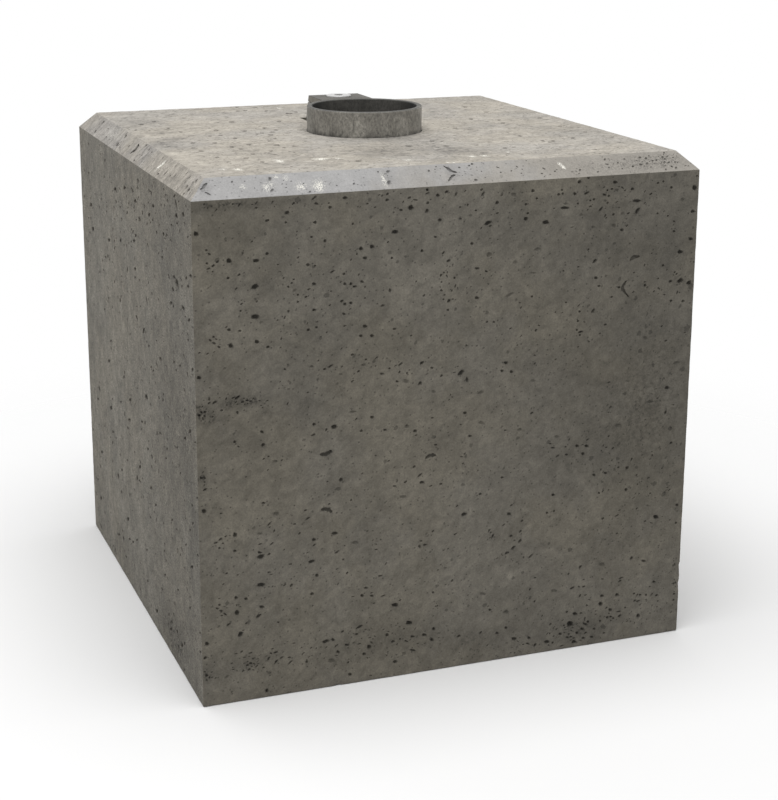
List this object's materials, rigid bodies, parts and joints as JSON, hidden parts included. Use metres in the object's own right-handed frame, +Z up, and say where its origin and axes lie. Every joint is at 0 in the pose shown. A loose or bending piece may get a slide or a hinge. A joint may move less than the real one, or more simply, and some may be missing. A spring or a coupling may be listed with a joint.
{
  "type": "concrete post base block",
  "caption": "Square precast concrete base block with a round steel socket for a post standing just proud of its top, and a wedge lock behind it that a screw draws up to clamp the post.",
  "frame": {"origin": "centre of the block's underside, on the socket's axis", "axes": "+Z up along the socket, +Y towards the wedge lock behind the socket, +X to the right seen from the front"},
  "size_m": [0.3, 0.3, 0.3124],
  "materials": {
    "concrete": "bare cast concrete, matt, with bug holes and stains",
    "tube_steel": "dull weathered zinc with cement film",
    "case_steel": "dull zinc with cement film",
    "wedge_iron": "rough cast",
    "nut_steel": "zinc plated",
    "screw_steel": "bright zinc plated"
  },
  "bodies": {
    "base": {"concrete_block": "concrete", "socket_tube": "tube_steel", "anchor_bar": "tube_steel", "lock_case": "case_steel", "lock_lid": "case_steel", "lock_floor": "case_steel"},
    "screw": {"lock_screw": "screw_steel"},
    "nut": {"lock_nut": "nut_steel"},
    "wedge": {"lock_wedge": "wedge_iron"}
  },
  "joints": [
    {"name": "lock_wedge_slide", "type": "slide", "parent": "base", "child": "wedge", "axis": [0, -0.342, 0.9397], "range_m": [0, 0.0138]},
    {"name": "lock_nut_rise", "type": "slide", "parent": "base", "child": "nut", "axis": [0, 0, 1], "range_m": [0, 0.013]},
    {"name": "lock_screw_turn", "type": "hinge", "parent": "base", "child": "screw", "pos_m": [0, 0.0485, 0.3115], "axis": [0, 0, 1], "range_deg": [-3740, 0]}
  ],
  "couplings": [
    {"joint": "lock_nut_rise", "follows": "lock_wedge_slide", "ratio": 0.93969},
    {"joint": "lock_screw_turn", "follows": "lock_wedge_slide", "rad_per_m": -4723.4}
  ]
}
